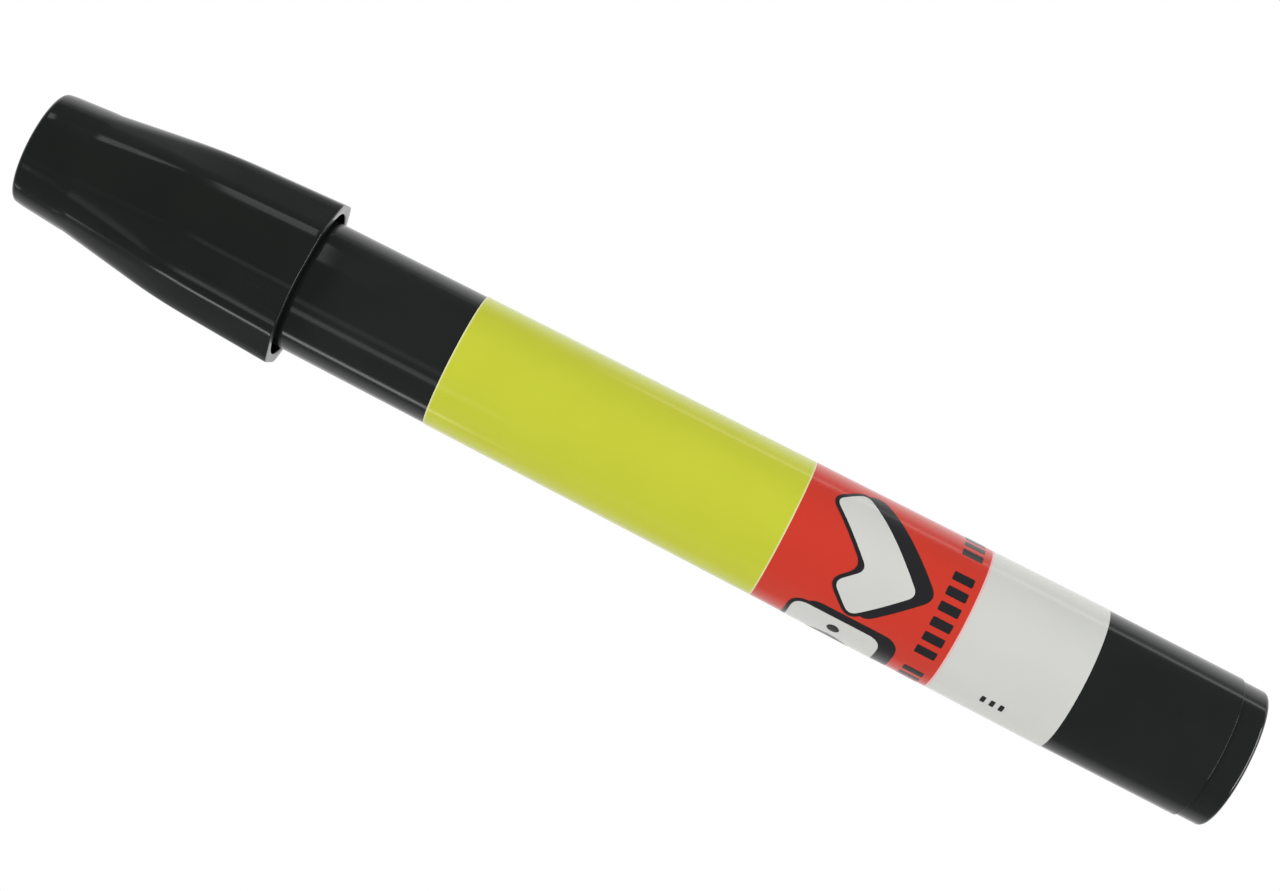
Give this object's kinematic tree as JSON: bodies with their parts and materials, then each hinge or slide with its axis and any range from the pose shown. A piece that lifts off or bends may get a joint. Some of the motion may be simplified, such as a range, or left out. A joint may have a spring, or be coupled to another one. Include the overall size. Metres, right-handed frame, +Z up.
{
  "type": "counterfeit detector pen",
  "caption": "Fat banknote-testing marker pen with a pull-off ten-faceted cap, tapered round barrel, printed wrap label, chisel felt nib, fibre reservoir and end plug.",
  "frame": {"origin": "middle of the pen's length, on the surface it lies on, under the cap's lowest facet", "axes": "+X along the pen from the cap's closed end to the end plug, +Z up, one cap facet facing down"},
  "size_m": [0.14, 0.0192, 0.0184],
  "materials": {
    "black_plastic": "glossy moulded",
    "natural_plastic": "satin translucent white",
    "printed_label": "glossy printed film",
    "felt": "pressed felt, ink stained",
    "fibre": "bundled fibre, ink soaked",
    "film": "thin film"
  },
  "bodies": {
    "pen_body": {"barrel_tube": "black_plastic", "wrap_label": "printed_label", "nib_holder": "natural_plastic", "nib": "felt", "reservoir_core": "fibre", "reservoir_wrap": "film", "end_plug": "black_plastic"},
    "cap": {"cap_shell": "black_plastic", "inner_cap": "natural_plastic"}
  },
  "joints": [
    {"name": "cap_pull", "type": "slide", "parent": "pen_body", "child": "cap", "axis": [-1, 0, 0], "range_m": [0, 0.035]}
  ]
}
